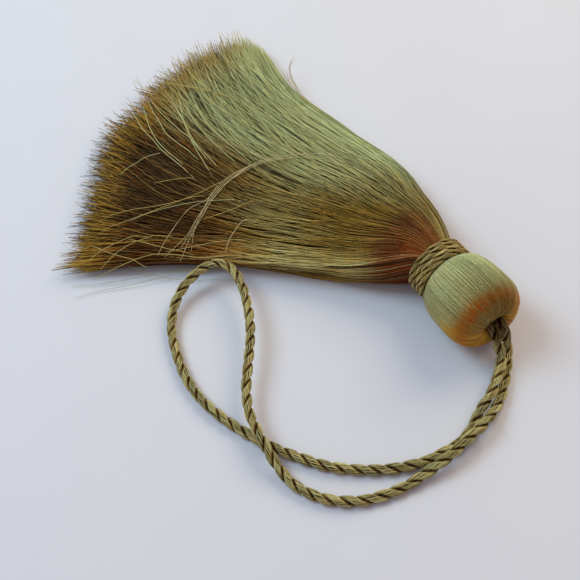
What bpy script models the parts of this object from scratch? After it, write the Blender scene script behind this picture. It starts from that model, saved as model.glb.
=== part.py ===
"""Olive silk tassel lying on its side: thread bundle, neck binding and hanging cord.

The origin lies on the surface under the head's small flat spot, +Z is up, and the
skirt fans out toward -X. Lengths are in metres, and tables are in millimetres.
"""

import math
import random

import bpy
from mathutils import Matrix, Vector

MM = 0.001

# How the head lies
HEAD_YAW = math.radians(-20.0)
HEAD_PITCH = math.radians(2.0)
HEAD_HEIGHT = 8.4 * MM
HEAD_SIDES = 32
SHARP_ANGLE = math.radians(40.0)

# Head and neck, turned about the head's own axis: place along it and radius
HEAD_PROFILE = [
    {"along": -12.9, "radius": 5.6},
    {"along": -8.0, "radius": 5.6},
    {"along": -7.5, "radius": 6.3},
    {"along": -6.4, "radius": 7.4},
    {"along": -4.8, "radius": 8.1},
    {"along": -2.8, "radius": 8.52},
    {"along": -1.0, "radius": 8.65},
    {"along": 1.0, "radius": 8.7},
    {"along": 2.8, "radius": 8.65},
    {"along": 4.8, "radius": 8.3},
    {"along": 6.7, "radius": 7.3},
    {"along": 8.0, "radius": 5.4},
    {"along": 8.2, "radius": 3.9},
    {"along": 7.4, "radius": 2.7},
    {"along": 6.3, "radius": 2.5},
]

# Skirt of locks, which grow from cells of the neck's end face
ROOT_ALONG = -13.4 * MM
ROOT_RADIUS = 5.55 * MM
ROOT_RISE = 0.85
ROWS = 5
COLUMNS = 46
CELL_FILL = 0.70
LOCK_FILL = 0.68
RAGGED = 0.035
SPREAD_SHARE = 0.45
STAGGER = 0.25
NUDGE = 0.12

# Heading of the near and far edge threads from -X toward +Y in degrees, and the
# bundle's underside and top in millimetres, at shares of a thread's length
STATIONS = [
    {"share": 0.00, "near": -34.0, "far": 60.0, "under": 3.0, "top": 12.4, "crown": 0.00},
    {"share": 0.06, "near": -27.0, "far": 50.0, "under": 1.6, "top": 13.4, "crown": 0.35},
    {"share": 0.20, "near": -19.0, "far": 31.0, "under": 0.0, "top": 10.4, "crown": 0.40},
    {"share": 0.42, "near": -21.0, "far": 15.0, "under": 0.0, "top": 7.2, "crown": 0.35},
    {"share": 0.70, "near": -33.0, "far": 13.0, "under": 0.0, "top": 5.4, "crown": 0.30},
    {"share": 1.00, "near": -46.0, "far": 4.0, "under": 0.0, "top": 4.4, "crown": 0.25},
]

# Thread length from the near edge to the far edge of the fan
LENGTHS = [
    {"across": -1.0, "length": 79.0},
    {"across": -0.5, "length": 84.0},
    {"across": 0.0, "length": 92.0},
    {"across": 0.5, "length": 99.5},
    {"across": 0.8, "length": 101.0},
    {"across": 1.0, "length": 88.0},
]

# Fine two-ply cord wound round the neck
BINDING_DIAMETER = 1.15 * MM
BINDING_PITCH = 1.18 * MM
BINDING_TURNS = 4.0
BINDING_RADIUS = 6.5 * MM
BINDING_START = -12.7 * MM
BINDING_LAY = 3.6 * MM
BINDING_WAIST = 0.62
TURN_STEPS = 24

# Two-ply hanging cord
CORD_DIAMETER = 2.2 * MM
CORD_LAY = 6.6 * MM
CORD_WAIST = 0.78
PLY_STEPS = 6
PLY_POINTS = 6
CURVE_STEPS = 8

# Route of the hanging cord's middle in millimetres, from one end in the head's
# dimple, round the loop and back to the dimple
CORD_ROUTE = [
    (6.0, -3.4, 8.6), (7.2, -3.6, 8.0), (8.5, -4.1, 6.5), (9.4, -4.7, 5.0), (10.3, -5.4, 3.7),
    (11.3, -6.9, 2.9), (12.6, -10.1, 3.0), (13.6, -14.4, 3.0), (13.5, -18.0, 2.3),
    (13.8, -20.9, 1.3), (14.0, -23.7, 1.1), (13.5, -27.0, 1.1), (12.0, -30.4, 1.1),
    (10.4, -33.4, 1.1), (8.2, -36.2, 1.1), (5.4, -39.0, 1.1), (1.1, -42.2, 1.1),
    (-4.8, -45.4, 1.1), (-11.8, -47.5, 1.1), (-17.8, -48.6, 1.1), (-24.8, -49.2, 1.1),
    (-30.9, -49.1, 1.1), (-36.6, -48.2, 1.1), (-42.5, -46.0, 1.1), (-48.4, -42.4, 1.1),
    (-53.0, -38.6, 1.4), (-56.0, -34.0, 2.2), (-57.0, -29.0, 3.5), (-56.1, -24.2, 4.7),
    (-53.8, -21.0, 5.4), (-50.0, -20.2, 5.4), (-45.4, -22.2, 5.0), (-40.9, -25.7, 4.7),
    (-37.0, -29.5, 4.6), (-34.0, -33.4, 4.4), (-31.1, -37.8, 4.1), (-28.1, -42.1, 3.7),
    (-24.6, -45.6, 3.5), (-20.6, -48.1, 3.6), (-16.4, -50.1, 3.2), (-12.7, -51.5, 2.0),
    (-8.8, -52.4, 1.2), (-4.5, -52.1, 1.1), (-0.2, -50.8, 1.1), (3.9, -48.2, 1.1),
    (7.0, -44.9, 1.1), (9.9, -40.4, 1.1), (11.6, -36.5, 1.7), (13.0, -33.2, 2.5),
    (14.2, -29.6, 3.1), (15.0, -25.2, 3.1), (15.8, -21.0, 3.0), (15.8, -16.6, 1.9),
    (15.2, -12.9, 1.3), (14.0, -9.3, 1.1), (12.6, -5.8, 1.1), (11.4, -3.5, 1.9),
    (10.4, -2.6, 3.9), (9.4, -1.9, 6.6), (8.1, -1.6, 8.2), (6.6, -1.1, 8.6),
]


def clear_scene():
    for item in list(bpy.data.objects):
        bpy.data.objects.remove(item, do_unlink=True)


def make_material(name, colour, roughness):
    material = bpy.data.materials.new(name)
    material.use_nodes = True
    shader = material.node_tree.nodes["Principled BSDF"]
    shader.inputs["Base Color"].default_value = (*colour, 1.0)
    shader.inputs["Roughness"].default_value = roughness
    shader.inputs["Metallic"].default_value = 0.0
    return material


def make_object(name, points, faces, material):
    mesh = bpy.data.meshes.new(name)
    mesh.from_pydata([tuple(point) for point in points], [], faces)
    mesh.validate()
    mesh.materials.append(material)
    item = bpy.data.objects.new(name, mesh)
    bpy.context.scene.collection.objects.link(item)
    mesh.shade_smooth()
    mesh.set_sharp_from_angle(angle=SHARP_ANGLE)
    return item


def read_table(rows, key, value, place):
    """The table's value at a place, on straight lines between its rows."""
    for first, second in zip(rows, rows[1:]):
        if place <= second[key]:
            part = (place - first[key]) / (second[key] - first[key])
            return first[value] + part * (second[value] - first[value])
    return rows[-1][value]


def head_frame():
    turn = Matrix.Rotation(HEAD_YAW, 4, "Z") @ Matrix.Rotation(-HEAD_PITCH, 4, "Y")
    return Matrix.Translation((0.0, 0.0, HEAD_HEIGHT)) @ turn


def head_point(along, lateral, rise):
    """A point given along, beside and above the head's own axis."""
    return head_frame() @ Vector((along, lateral, rise))


def chord(rise, share):
    """Half width of a row: a round bundle at the neck opens to a level fan."""
    neck = math.sqrt(1.0 - (ROOT_RISE * rise) ** 2)
    opened = min(share / SPREAD_SHARE, 1.0)
    return neck + (1.0 - neck) * opened


def fan_point(across, share):
    """Place and heading of the thread that leaves the neck at this width."""
    spot = head_point(ROOT_ALONG, ROOT_RADIUS * across, 0.0)
    length = read_table(LENGTHS, "across", "length", across) * MM
    mix = (across + 1.0) / 2.0
    headings = [row["near"] + mix * (row["far"] - row["near"]) for row in STATIONS]
    heading = math.radians(headings[0])
    for row, after, start, end in zip(STATIONS, STATIONS[1:], headings, headings[1:]):
        if share <= row["share"]:
            break
        reach = min(share, after["share"]) if after is not STATIONS[-1] else share
        part = (reach - row["share"]) / (after["share"] - row["share"])
        heading = math.radians(start + part * (end - start))
        middle = math.radians(start + part * (end - start) / 2.0)
        run = length * (reach - row["share"])
        spot = spot + Vector((-math.cos(middle), math.sin(middle), 0.0)) * run
    return spot, heading


def lock_section(row, column, station, nudge, stretch):
    """Three corners of a lock at a station: two below and a ridge above."""
    share = station["share"] * stretch
    rise = (2.0 * row + 1.0) / ROWS - 1.0
    pitch = 2.0 / COLUMNS
    stagger = STAGGER if row % 2 else -STAGGER
    across = -1.0 + (column + 0.5 + stagger + nudge) * pitch
    across *= chord(rise, station["share"])
    half = 0.5 * pitch * LOCK_FILL * chord(rise, station["share"])
    spot, heading = fan_point(across, share)
    width = (fan_point(across + half, share)[0] - fan_point(across - half, share)[0]).length
    side = Vector((math.sin(heading), math.cos(heading), 0.0)) * width / 2.0
    depth = (station["top"] - station["under"]) * (1.0 - station["crown"] * across**2)
    layer = depth / ROWS
    low = (station["under"] + layer * row) * MM
    high = low + layer * LOCK_FILL * MM
    return [
        Vector((spot.x - side.x, spot.y - side.y, low)),
        Vector((spot.x + side.x, spot.y + side.y, low)),
        Vector((spot.x, spot.y, high)),
    ]


def add_ring(points, along, radius):
    """A round section of the head, flattened where it meets the surface."""
    first = len(points)
    for side in range(HEAD_SIDES):
        angle = 2.0 * math.pi * side / HEAD_SIDES - math.pi / 2.0
        spot = head_point(along, radius * math.cos(angle), radius * math.sin(angle))
        spot.z = max(spot.z, 0.0)
        points.append(spot)
    return list(range(first, first + HEAD_SIDES))


def join_rings(faces, first, second):
    for side, (start, end) in enumerate(zip(first, second)):
        after = (side + 1) % len(first)
        faces.append((start, first[after], second[after], end))


def angle_about_axis(spot):
    local = head_frame().inverted() @ spot
    return math.atan2(local.z, local.y) % (2.0 * math.pi)


def stitch_loops(points, faces, outer, inner):
    """Triangles between two loops that run the same way round the head's axis."""
    loops = []
    for loop in (outer, inner):
        angles = [angle_about_axis(points[place]) for place in loop]
        start = angles.index(min(angles))
        loops.append((loop[start:] + loop[:start], angles[start:] + angles[:start]))
    (outer, outer_angles), (inner, inner_angles) = loops
    full = 2.0 * math.pi
    i = 0
    j = 0
    while i < len(outer) or j < len(inner):
        turn_outer = outer_angles[i + 1] if i + 1 < len(outer) else full
        turn_inner = inner_angles[j + 1] if j + 1 < len(inner) else full
        if j >= len(inner) or (i < len(outer) and turn_outer <= turn_inner):
            faces.append((outer[i], outer[(i + 1) % len(outer)], inner[j % len(inner)]))
            i += 1
        else:
            faces.append((outer[i % len(outer)], inner[(j + 1) % len(inner)], inner[j]))
            j += 1


def root_grid(points):
    """Corners of the cells on the neck's end face, row by row."""
    grid = []
    for line in range(ROWS + 1):
        rise = 2.0 * line / ROWS - 1.0
        half = chord(rise, 0.0) * ROOT_RADIUS
        level = rise * ROOT_RISE * ROOT_RADIUS
        ids = []
        for column in range(COLUMNS + 1):
            across = 2.0 * column / COLUMNS - 1.0
            ids.append(len(points))
            points.append(head_point(ROOT_ALONG, across * half, level))
        grid.append(ids)
    return grid


def grid_border(grid):
    """The end face's edge, turning from +lateral toward +rise."""
    right = [ids[-1] for ids in grid]
    top = list(reversed(grid[-1]))[1:]
    left = [ids[0] for ids in reversed(grid)][1:]
    bottom = grid[0][1:-1]
    return right + top + left + bottom


def add_lock(points, faces, corners, row, column, chance):
    """One cell of the end face, with the lock that grows out of it."""
    quad = [points[corner] for corner in corners]
    middle = sum(quad, Vector()) / 4.0
    low_left = middle.lerp(quad[0], CELL_FILL)
    low_right = middle.lerp(quad[1], CELL_FILL)
    ridge = middle.lerp((quad[2] + quad[3]) / 2.0, CELL_FILL)
    nudge = chance.uniform(-NUDGE, NUDGE)
    stretch = 1.0 + chance.uniform(-RAGGED, RAGGED)
    sections = [[low_left, low_right, ridge]]
    for station in STATIONS[1:]:
        last = station is STATIONS[-1]
        sections.append(lock_section(row, column, station, nudge, stretch if last else 1.0))
    rings = []
    for section in sections:
        rings.append(list(range(len(points), len(points) + 3)))
        points.extend(section)
    left, right, up = rings[0]
    a, b, c, d = corners
    faces.append((b, a, left, right))
    faces.extend([(c, b, right), (c, right, up)])
    faces.append((d, c, up))
    faces.extend([(a, d, left), (d, up, left)])
    for first, second in zip(rings, rings[1:]):
        for side in range(3):
            after = (side + 1) % 3
            faces.append((first[after], first[side], second[side], second[after]))
    faces.append(tuple(reversed(rings[-1])))


def make_tassel(material):
    chance = random.Random(7)
    points = []
    faces = []
    rings = [add_ring(points, row["along"] * MM, row["radius"] * MM) for row in HEAD_PROFILE]
    for first, second in zip(rings, rings[1:]):
        join_rings(faces, first, second)
    faces.append(tuple(rings[-1]))
    grid = root_grid(points)
    stitch_loops(points, faces, grid_border(grid), rings[0])
    for row in range(ROWS):
        for column in range(COLUMNS):
            corners = (
                grid[row][column],
                grid[row][column + 1],
                grid[row + 1][column + 1],
                grid[row + 1][column],
            )
            add_lock(points, faces, corners, row, column, chance)
    return make_object("thread_bundle", points, faces, material)


def smooth_route(spots, step):
    """Points at even steps on a smooth curve through the given ones."""
    fine = []
    ends = [spots[0] * 2.0 - spots[1], *spots, spots[-1] * 2.0 - spots[-2]]
    for before, start, end, after in zip(ends, ends[1:], ends[2:], ends[3:]):
        for index in range(CURVE_STEPS):
            part = index / CURVE_STEPS
            bend = (end - before) * 0.5
            leave = (after - start) * 0.5
            square = part * part
            cube = square * part
            fine.append(
                start * (2.0 * cube - 3.0 * square + 1.0)
                + bend * (cube - 2.0 * square + part)
                + end * (3.0 * square - 2.0 * cube)
                + leave * (cube - square)
            )
    fine.append(spots[-1])
    reach = [0.0]
    for start, end in zip(fine, fine[1:]):
        reach.append(reach[-1] + (end - start).length)
    count = max(2, round(reach[-1] / step))
    even = []
    place = 0
    for index in range(count + 1):
        target = reach[-1] * index / count
        while place < len(fine) - 2 and reach[place + 1] < target:
            place += 1
        part = (target - reach[place]) / (reach[place + 1] - reach[place])
        even.append(fine[place].lerp(fine[place + 1], min(max(part, 0.0), 1.0)))
    return even


def ply_radius(angle, radius, waist):
    """Outline of two plies that lie side by side, flattened where they meet."""
    lobe = (1.0 + math.cos(2.0 * angle)) / 2.0
    return radius * (waist + (1.0 - waist) * lobe)


def make_cord(name, route, diameter, lay, waist, material):
    """A two-ply cord: a two-lobed section carried along the route with its twist."""
    path = smooth_route(route, lay / PLY_STEPS)
    tangents = []
    for index in range(len(path)):
        ahead = path[min(index + 1, len(path) - 1)]
        behind = path[max(index - 1, 0)]
        tangents.append((ahead - behind).normalized())
    normal = tangents[0].orthogonal().normalized()
    points = []
    faces = []
    for index, (spot, tangent) in enumerate(zip(path, tangents)):
        if index:
            normal = tangents[index - 1].rotation_difference(tangent) @ normal
            normal = (normal - tangent * normal.dot(tangent)).normalized()
        beside = tangent.cross(normal)
        twist = 2.0 * math.pi * index / PLY_STEPS
        for side in range(PLY_POINTS):
            angle = 2.0 * math.pi * side / PLY_POINTS
            reach = ply_radius(angle, diameter / 2.0, waist)
            turned = angle + twist
            points.append(spot + (normal * math.cos(turned) + beside * math.sin(turned)) * reach)
    for ring in range(len(path) - 1):
        for side in range(PLY_POINTS):
            after = (side + 1) % PLY_POINTS
            a = ring * PLY_POINTS + side
            b = ring * PLY_POINTS + after
            c = b + PLY_POINTS
            d = a + PLY_POINTS
            faces.append((a, b, c))
            faces.append((a, c, d))
    faces.append(tuple(reversed(range(PLY_POINTS))))
    last = (len(path) - 1) * PLY_POINTS
    faces.append(tuple(range(last, last + PLY_POINTS)))
    return make_object(name, points, faces, material)


def make_binding(material):
    """The fine cord's close turns round the neck, with both ends underneath."""
    spots = []
    steps = round(BINDING_TURNS * TURN_STEPS)
    for index in range(steps + 1):
        turn = BINDING_TURNS * index / steps
        angle = 2.0 * math.pi * turn - math.pi / 2.0
        along = BINDING_START + BINDING_PITCH * turn
        lateral = BINDING_RADIUS * math.cos(angle)
        rise = BINDING_RADIUS * math.sin(angle)
        spots.append(head_point(along, lateral, rise))
    size = (BINDING_DIAMETER, BINDING_LAY, BINDING_WAIST)
    return make_cord("neck_binding", spots, *size, material)


def make_hanging_cord(material):
    spots = [Vector(spot) * MM for spot in CORD_ROUTE]
    size = (CORD_DIAMETER, CORD_LAY, CORD_WAIST)
    return make_cord("hanging_cord", spots, *size, material)


def main():
    clear_scene()
    make_tassel(make_material("olive silk thread", (0.20, 0.17, 0.045), 0.42))
    make_binding(make_material("olive fine cord", (0.22, 0.18, 0.055), 0.5))
    make_hanging_cord(make_material("olive twisted cord", (0.21, 0.19, 0.065), 0.48))


main()
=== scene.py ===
import math

import bpy
import numpy as np
from mathutils import Euler, Matrix, Vector


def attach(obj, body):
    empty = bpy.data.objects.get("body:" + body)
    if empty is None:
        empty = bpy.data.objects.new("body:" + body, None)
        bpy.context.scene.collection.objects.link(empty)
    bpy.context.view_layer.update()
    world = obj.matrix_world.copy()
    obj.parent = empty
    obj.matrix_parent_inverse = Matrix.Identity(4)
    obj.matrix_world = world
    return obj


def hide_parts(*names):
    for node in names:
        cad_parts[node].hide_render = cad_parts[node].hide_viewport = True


# Silk tassel lying on a pale floor. Tables are in millimetres, x runs toward the head.
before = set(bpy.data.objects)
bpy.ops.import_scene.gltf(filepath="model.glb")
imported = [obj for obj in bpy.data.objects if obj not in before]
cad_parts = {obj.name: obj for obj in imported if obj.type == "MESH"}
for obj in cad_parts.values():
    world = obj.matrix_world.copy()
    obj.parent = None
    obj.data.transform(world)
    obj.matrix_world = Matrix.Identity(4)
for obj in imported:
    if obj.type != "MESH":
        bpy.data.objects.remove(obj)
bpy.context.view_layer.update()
mm = 0.001
print("frame loaded:", sorted(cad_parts))


# the camera stands where the photograph was taken from
view = {
    "place": (0.0470982, -0.1005448, 0.165),
    "turn": (35.8456, 5.3920, 37.3249),
    "lens": 55.43,
}

lens = bpy.data.cameras.new("view")
lens.lens = view["lens"]
lens.sensor_width = 36.0
lens.clip_start = 0.001
camera = bpy.data.objects.new("view", lens)
camera.location = view["place"]
camera.rotation_euler = Euler([math.radians(angle) for angle in view["turn"]])
bpy.context.collection.objects.link(camera)
bpy.context.scene.camera = camera
bpy.context.scene.view_settings.view_transform = "Standard"


# shader maths: wraps one output of a node, so that + - and * add Math nodes
class Link:
    def __init__(self, tree, socket=None):
        self.tree = tree
        self.socket = socket

    def node(self, kind, settings=None, values=None, take=0):
        made = self.tree.nodes.new(kind)
        for key, value in (settings or {}).items():
            setattr(made, key, value)
        for key, value in (values or {}).items():
            if isinstance(value, Link):
                self.tree.links.new(value.socket, made.inputs[key])
            else:
                made.inputs[key].default_value = value
        return Link(self.tree, made.outputs[take])

    def work(self, operation, first, second):
        return self.node("ShaderNodeMath", {"operation": operation}, {0: first, 1: second})

    def __add__(self, other):
        return self.work("ADD", self, other)

    def __radd__(self, other):
        return self.work("ADD", other, self)

    def __sub__(self, other):
        return self.work("SUBTRACT", self, other)

    def __mul__(self, other):
        return self.work("MULTIPLY", self, other)

    def held(self):
        # keeps a value between 0 and 1
        return self.node("ShaderNodeClamp", {}, {0: self})

    def blend(self, first, second):
        # from the first colour at 0 to the second at 1
        sides = [(*side, 1.0) if isinstance(side, tuple) else side for side in (first, second)]
        mix = {"data_type": "RGBA"}
        return self.node("ShaderNodeMix", mix, {0: self, 6: sides[0], 7: sides[1]}, take=2)


# silk colours: dark and light of each dye, where the brown and red serve for painted shade
# as well as for the silk's own colour; the bleached colour, gloss, and speckles to a metre
silkLooks = {
    "silk": {
        "green": ((0.045, 0.034, 0.002), (0.70, 0.74, 0.37)),
        "brown": ((0.045, 0.013, 0.001), (0.66, 0.37, 0.050)),
        "red": ((0.050, 0.003, 0.001), (0.46, 0.085, 0.010)),
        "pale": (0.72, 0.55, 0.33), "rough": 0.36, "speck": 2600.0, "tint": (1.0, 0.90, 0.32),
    },
    "cord": {
        "green": ((0.050, 0.036, 0.003), (0.74, 0.74, 0.36)),
        "brown": ((0.045, 0.016, 0.002), (0.66, 0.42, 0.110)),
        "red": ((0.040, 0.007, 0.002), (0.44, 0.130, 0.030)),
        "pale": (0.72, 0.58, 0.38), "rough": 0.40, "speck": 2600.0, "tint": (1.0, 0.93, 0.50),
    },
}

# how much the fine speckle and the broad clouds change the lightness, the dye and the gloss;
# the speckle in the lightness is partly the twist's own grain and partly painted sparkle highlights
silkGrain = {
    "speckle": 1.10, "cloud": 0.25, "dyeCloud": 0.50, "gloss": 0.30, "bump": 0.35,
    "bumpDepth": 0.00004,
}


def makeSilk(name, look):
    # tone is each thread's own lightness; warm, red and pale are its shares of the other dyes
    material = bpy.data.materials.new(name)
    material.use_nodes = True
    tree = material.node_tree
    shader = tree.nodes["Principled BSDF"]
    # tone is each thread's lightness, partly its own and partly painted light and shade; warm, red
    # and pale are its shares of the other colours, and warm and red carry painted shade too
    start = Link(tree)
    tone, warm, red, pale = [
        start.node("ShaderNodeAttribute", {"attribute_name": key}, take=2)
        for key in ("tone", "warm", "red", "pale")]
    place = start.node("ShaderNodeTexCoord", take=3)
    speckle = {"Vector": place, "Scale": look["speck"], "Detail": 3.0, "Roughness": 0.65}
    speckle = start.node("ShaderNodeTexNoise", {}, speckle) - 0.5
    cloud = {"Vector": place, "Scale": look["speck"] / 12.0, "Detail": 2.0}
    cloud = start.node("ShaderNodeTexNoise", {}, cloud) - 0.5
    # the speckle in the lightness is partly grain and partly painted sparkle highlights
    lightness = (tone + speckle * silkGrain["speckle"] + cloud * silkGrain["cloud"]).held()
    brown = (warm + cloud * silkGrain["dyeCloud"]).held()
    dyeAndShade = brown.blend(lightness.blend(*look["green"]), lightness.blend(*look["brown"]))
    dyeAndShade = red.held().blend(dyeAndShade, lightness.blend(*look["red"]))
    dyeAndShade = pale.blend(dyeAndShade, look["pale"])
    tree.links.new(dyeAndShade.socket, shader.inputs["Base Color"])
    gloss = look["rough"] + speckle * silkGrain["gloss"]
    tree.links.new(gloss.socket, shader.inputs["Roughness"])
    bump = {"Strength": silkGrain["bump"], "Distance": silkGrain["bumpDepth"], "Height": speckle}
    tree.links.new(start.node("ShaderNodeBump", {}, bump).socket, shader.inputs["Normal"])
    shader.inputs["IOR"].default_value = 1.54
    shader.inputs["Specular IOR Level"].default_value = 0.30
    shader.inputs["Specular Tint"].default_value = (*look["tint"], 1.0)
    return material


silk = makeSilk("oliveSilk", silkLooks["silk"])
cordSilk = makeSilk("oliveCordSilk", silkLooks["cord"])


# every thread is a fine mesh tube; the next functions lay out the lines and build the tubes
def unit(rows):
    return rows / np.maximum(np.linalg.norm(rows, axis=-1, keepdims=True), 1e-9)


def smoothStep(low, high, values):
    part = np.clip((np.asarray(values, float) - low) / (high - low), 0.0, 1.0)
    return part * part * (3.0 - 2.0 * part)


def throughPoints(spots, count):
    # a smooth curve through the rows, cut into even steps
    spots = np.asarray(spots, float)
    ends = np.vstack([2 * spots[0] - spots[1], spots, 2 * spots[-1] - spots[-2]])
    part = np.linspace(0.0, 1.0, 12, endpoint=False)[:, None]
    fine = []
    for before, start, end, after in zip(ends, ends[1:], ends[2:], ends[3:]):
        bend, leave = (end - before) / 2, (after - start) / 2
        square, cube = part ** 2, part ** 3
        fine.append(start * (2 * cube - 3 * square + 1) + bend * (cube - 2 * square + part)
                    + end * (3 * square - 2 * cube) + leave * (cube - square))
    fine = np.vstack([*fine, spots[-1:]])
    reach = np.concatenate([[0.0], np.cumsum(np.linalg.norm(np.diff(fine, axis=0), axis=1))])
    even = np.linspace(0.0, reach[-1], count)
    return np.stack([np.interp(even, reach, fine[:, axis]) for axis in range(3)], axis=1)


def carriedFrames(lines):
    # normal and side at every point, carried along each line without twist
    tangents = unit(np.gradient(lines, axis=1))
    normals = np.empty_like(tangents)
    guide = np.where(np.abs(tangents[:, 0, 2:3]) < 0.9, [[0.0, 0.0, 1.0]], [[1.0, 0.0, 0.0]])
    for step in range(lines.shape[1]):
        along = tangents[:, step]
        guide = unit(guide - along * np.sum(guide * along, axis=1, keepdims=True))
        normals[:, step] = guide
    return normals, np.cross(tangents, normals)


def makeMesh(name, points, faces, material, values):
    # faces is a list of arrays, one for each number of corners
    mesh = bpy.data.meshes.new(name)
    mesh.vertices.add(len(points))
    mesh.vertices.foreach_set("co", (np.asarray(points) * mm).astype(np.float32).ravel())
    corners = np.concatenate([rows.ravel() for rows in faces])
    sizes = np.concatenate([np.full(len(rows), rows.shape[1]) for rows in faces])
    mesh.loops.add(len(corners))
    mesh.loops.foreach_set("vertex_index", corners.astype(np.int32))
    mesh.polygons.add(len(sizes))
    mesh.polygons.foreach_set("loop_start", (np.cumsum(sizes) - sizes).astype(np.int32))
    mesh.update(calc_edges=True)
    mesh.shade_smooth()
    for key in ("tone", "warm", "red", "pale"):
        spread = np.broadcast_to(values.get(key, 0.0), (len(points),))
        layer = mesh.attributes.new(key, "FLOAT", "POINT")
        layer.data.foreach_set("value", np.ascontiguousarray(spread, np.float32))
    mesh.materials.append(material)
    piece = bpy.data.objects.new(name, mesh)
    bpy.context.collection.objects.link(piece)
    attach(piece, "root")
    return piece


def makeTubes(name, lines, radii, material, sides, values):
    # one closed tube for each line; values are given for each point of each line
    lines = np.asarray(lines, float)
    count, steps = lines.shape[:2]
    radii = np.broadcast_to(radii, (count, steps))
    normals, besides = carriedFrames(lines)
    angles = 2.0 * np.pi * np.arange(sides) / sides
    rings = (normals[:, :, None] * np.cos(angles)[:, None]
             + besides[:, :, None] * np.sin(angles)[:, None])
    points = lines[:, :, None] + rings * radii[:, :, None, None]
    points[..., 2] = np.maximum(points[..., 2], 0.02)
    ids = np.arange(count * steps * sides).reshape(count, steps, sides)
    after = np.roll(ids, -1, axis=2)
    walls = np.stack([ids[:, :-1], after[:, :-1], after[:, 1:], ids[:, 1:]], axis=-1)
    ends = np.concatenate([ids[:, 0, ::-1], ids[:, -1]])
    spread = {key: np.repeat(np.broadcast_to(value, (count, steps)).ravel(), sides)
              for key, value in values.items()}
    return makeMesh(name, points.reshape(-1, 3), [walls.reshape(-1, 4), ends], material, spread)


# hanging cord: two plies of fine threads, laid right-handed along the route
cordLook = {
    "diameter": 2.2, "lay": 7.0, "stepsInLay": 17, "threads": 18, "threadRadius": 0.115,
    "counterLay": 12.0, "flat": 0.74, "warmer": 0.14,
    "route": [
        (6.0, -3.4, 8.6), (7.2, -3.6, 8.0), (8.5, -4.1, 6.5), (9.4, -4.7, 5.0),
        (10.5, -5.2, 3.7), (11.5, -6.7, 2.9), (12.6, -10.1, 3.0), (13.6, -14.4, 3.0),
        (13.5, -18.0, 2.3), (13.8, -20.9, 1.3), (14.0, -23.7, 1.1), (13.5, -27.0, 1.1),
        (12.0, -30.4, 1.1), (10.4, -33.4, 1.1), (8.2, -36.2, 1.1), (5.4, -39.0, 1.1),
        (1.1, -42.2, 1.1), (-4.8, -45.4, 1.1), (-11.8, -47.5, 1.1), (-17.8, -48.6, 1.1),
        (-24.8, -49.2, 1.1), (-30.9, -49.1, 1.1), (-36.6, -48.2, 1.1), (-42.5, -46.0, 1.1),
        (-48.4, -42.4, 1.1), (-53.0, -38.6, 1.4), (-56.0, -34.0, 2.2), (-57.0, -29.0, 3.5),
        (-56.1, -24.2, 4.7), (-53.8, -21.0, 5.4), (-50.0, -20.2, 5.4), (-45.4, -22.2, 5.0),
        (-40.9, -25.7, 4.7), (-37.0, -29.5, 4.6), (-34.0, -33.4, 4.4), (-31.1, -37.8, 4.1),
        (-28.1, -42.1, 3.7), (-24.6, -45.6, 3.5), (-20.6, -48.1, 3.6), (-16.4, -50.1, 3.2),
        (-12.7, -51.5, 2.0), (-8.8, -52.4, 1.2), (-4.5, -52.1, 1.1), (-0.2, -50.8, 1.1),
        (3.9, -48.2, 1.1), (7.0, -44.9, 1.1), (9.9, -40.4, 1.1), (11.6, -36.5, 1.7),
        (13.0, -33.2, 2.5), (14.2, -29.6, 3.1), (15.0, -25.2, 3.1), (15.8, -21.0, 3.0),
        (15.8, -16.6, 1.9), (15.2, -12.9, 1.3), (14.0, -9.3, 1.1), (12.6, -5.8, 1.1),
        (11.4, -3.5, 1.9), (10.4, -2.6, 3.9), (9.4, -1.9, 6.6), (8.1, -1.6, 8.2),
        (6.6, -1.1, 8.6),
    ],
}


def pliedThreads(middle, look, chance):
    # threads of both plies round the middle line, and their colours
    steps = len(middle)
    normals, besides = [rows[0] for rows in carriedFrames(middle[None])]
    run = np.concatenate([[0.0], np.cumsum(np.linalg.norm(np.diff(middle, axis=0), axis=1))])
    # a ply is pressed oval against the other one: half thickness, then half width
    thick = look["diameter"] / 4.0 - look["threadRadius"] * 0.9
    wide = look["diameter"] / 2.0 * look["flat"] - look["threadRadius"] * 0.9
    lines, tones, warms = [], [], []
    for ply in range(2):
        turn = (2.0 * np.pi * run / look["lay"] + np.pi * ply)[:, None]
        out = normals * np.cos(turn) + besides * np.sin(turn)
        beside = besides * np.cos(turn) - normals * np.sin(turn)
        centre = middle + look["diameter"] / 4.0 * out
        for thread in range(look["threads"]):
            sway = 0.15 * np.sin(run / chance.uniform(2.0, 5.0) + chance.uniform(0, 6.28))
            own = 2.0 * np.pi * thread / look["threads"] + sway
            own = own - 2.0 * np.pi * run * (1.0 / look["counterLay"] + 1.0 / look["lay"])
            away = chance.uniform(0.96, 1.05)
            lines.append(centre + away * (thick * np.cos(own)[:, None] * out
                                          + wide * np.sin(own)[:, None] * beside))
            tones.append(np.full(steps, chance.uniform(0.40, 0.85)))
            warms.append(np.full(steps, chance.uniform(0.05, 0.50)))
        # each ply's thick core is coloured dark and warm as painted shade between its threads
        lines.append(centre)
        tones.append(np.full(steps, 0.05))
        warms.append(np.full(steps, 0.6))
    lines, tones, warms = np.array(lines), np.array(tones), np.array(warms)
    # painted shade: darker and redder between the plies and on the under side
    away = np.linalg.norm(lines - middle, axis=-1) / (look["diameter"] / 2.0)
    groove = 1.0 - smoothStep(0.40, 0.85, away)
    under = smoothStep(0.1, -0.9, (lines - middle)[..., 2] / (look["diameter"] / 2.0))
    return lines, {"tone": tones - 0.50 * groove - 0.15 * under,
                   "warm": warms + 0.35 * groove + 0.25 * under,
                   "red": 0.55 * groove + 0.45 * under}


def plyRadii(look, steps):
    # the fine threads, then the thick core of each ply, which is coloured dark as painted shade
    core = look["diameter"] / 4.0 - look["threadRadius"] * 0.6
    one = [look["threadRadius"]] * look["threads"] + [core]
    return np.repeat(np.array(one * 2)[:, None], steps, axis=1)


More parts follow.
